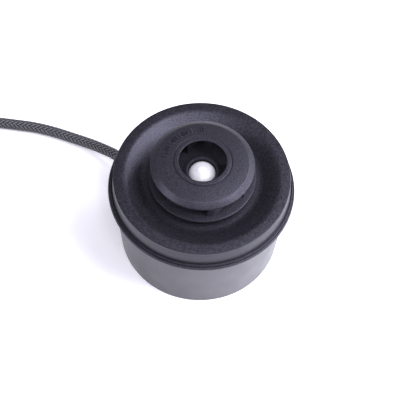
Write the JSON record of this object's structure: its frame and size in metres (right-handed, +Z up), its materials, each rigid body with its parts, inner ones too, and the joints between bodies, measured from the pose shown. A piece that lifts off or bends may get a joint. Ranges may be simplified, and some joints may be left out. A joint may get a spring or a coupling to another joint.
{
  "type": "centrifugal fan motor unit",
  "caption": "Round motor unit with a closed centrifugal impeller over a dished cover, and a braided lead that ends in a plug.",
  "frame": {"origin": "centre of the flat base, on the rotor axis", "axes": "+Z up along the rotor axis, towards the impeller; the lead leaves at the back, 141 degrees round from +X"},
  "size_m": [0.2554, 0.1165, 0.0713],
  "materials": {
    "can_satin": "satin black moulded plastic, faint polish lines",
    "cover_spark": "charcoal black, fine spark-eroded texture on the flats and smooth in the trough",
    "impeller_black": "charcoal black, fine moulded texture",
    "nose_white": "glossy white",
    "rubber_black": "matt black rubber",
    "steel": "ground steel",
    "brass": "turned brass",
    "enamelled_copper": "copper wire under clear enamel",
    "ferrite": "sintered dark grey magnet",
    "board_green": "green solder mask on glass laminate",
    "chip_epoxy": "black moulded epoxy",
    "socket_nylon": "natural nylon",
    "capacitor_can": "bare aluminium can",
    "phase_insulation": "red wire insulation",
    "wire_black": "black wire insulation",
    "braided_sleeve": "black braided polyester sleeve with pale glints",
    "connector_nylon": "black moulded nylon"
  },
  "bodies": {
    "housing": {"base_screw_1": "steel", "base_screw_2": "steel", "base_screw_3": "steel", "base_screw_4": "steel", "board_screw_1": "steel", "board_screw_2": "steel", "board_screw_3": "steel", "cable_gland": "rubber_black", "control_board": "board_green", "cover_o_ring": "rubber_black", "driver_chip": "chip_epoxy", "filter_capacitor": "capacitor_can", "inner_lead": "wire_black", "lead": "braided_sleeve", "lead_coil": "braided_sleeve", "lead_connector": "connector_nylon", "lead_socket": "socket_nylon", "lead_tail": "braided_sleeve", "lower_bearing_outer": "steel", "motor_can": "can_satin", "phase_lead_1": "phase_insulation", "phase_lead_2": "phase_insulation", "phase_lead_3": "phase_insulation", "power_transistor_1": "chip_epoxy", "power_transistor_2": "chip_epoxy", "power_transistor_3": "chip_epoxy", "preload_washer": "steel", "shaft_seal": "rubber_black", "sleeve_collar": "rubber_black", "stator_core": "steel", "top_cover": "cover_spark", "upper_bearing_outer": "steel", "winding_1": "enamelled_copper", "winding_2": "enamelled_copper", "winding_3": "enamelled_copper", "winding_4": "enamelled_copper", "winding_5": "enamelled_copper", "winding_6": "enamelled_copper", "winding_7": "enamelled_copper", "winding_8": "enamelled_copper", "winding_9": "enamelled_copper"},
    "rotor": {"bearing_spacer": "brass", "hub_insert": "brass", "impeller_nut": "steel", "impeller_shroud": "impeller_black", "impeller_washer": "steel", "impeller_wheel": "impeller_black", "lower_bearing_inner": "steel", "magnet_ring": "ferrite", "motor_shaft": "steel", "nose_cap": "nose_white", "retaining_clip": "steel", "rotor_bell": "steel", "upper_bearing_inner": "steel"}
  },
  "joints": [
    {"name": "rotor_spin", "type": "hinge", "parent": "housing", "child": "rotor", "pos_m": [0, 0, 0.06], "axis": [0, 0, 1], "continuous": true}
  ]
}
